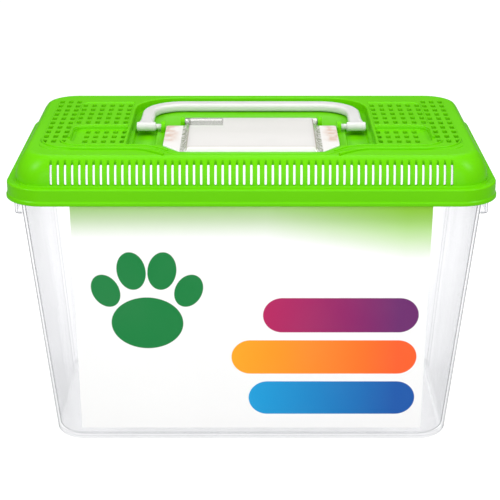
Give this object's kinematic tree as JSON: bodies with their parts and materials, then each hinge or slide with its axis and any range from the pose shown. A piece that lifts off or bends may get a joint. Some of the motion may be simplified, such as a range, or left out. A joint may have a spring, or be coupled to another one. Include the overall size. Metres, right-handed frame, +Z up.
{
  "type": "plastic pet keeper",
  "caption": "Clear drafted tub with a front label and end grips, under a vented lift-off lid that carries a folding handle and a clear flip-up feeder door.",
  "frame": {"origin": "middle of the flat base, on the surface that it stands on", "axes": "+X along the width, to the right as seen from the front; +Y from the label towards the back; +Z up"},
  "size_m": [0.3322, 0.1892, 0.2194],
  "materials": {
    "clear_tub": "clear glossy moulded polystyrene",
    "printed_label": "printed label stock with a light satin gloss",
    "green_lid": "lime green glossy moulded plastic",
    "white_handle": "white satin moulded plastic",
    "clear_door": "clear glossy moulded plastic"
  },
  "bodies": {
    "tub": {"tub": "clear_tub", "label": "printed_label"},
    "lid": {"lid": "green_lid"},
    "handle": {"carry_handle": "white_handle"},
    "door": {"feeder_door": "clear_door"}
  },
  "joints": [
    {"name": "lid_lift", "type": "slide", "parent": "tub", "child": "lid", "axis": [0, 0, 1], "range_m": [0, 0.08]},
    {"name": "handle_fold", "type": "hinge", "parent": "lid", "child": "handle", "pos_m": [0, 0, 0.214], "axis": [1, 0, 0], "range_deg": [0, 90]},
    {"name": "door_flip", "type": "hinge", "parent": "lid", "child": "door", "pos_m": [0, 0.0086, 0.21535], "axis": [-1, 0, 0], "range_deg": [0, 65]}
  ]
}
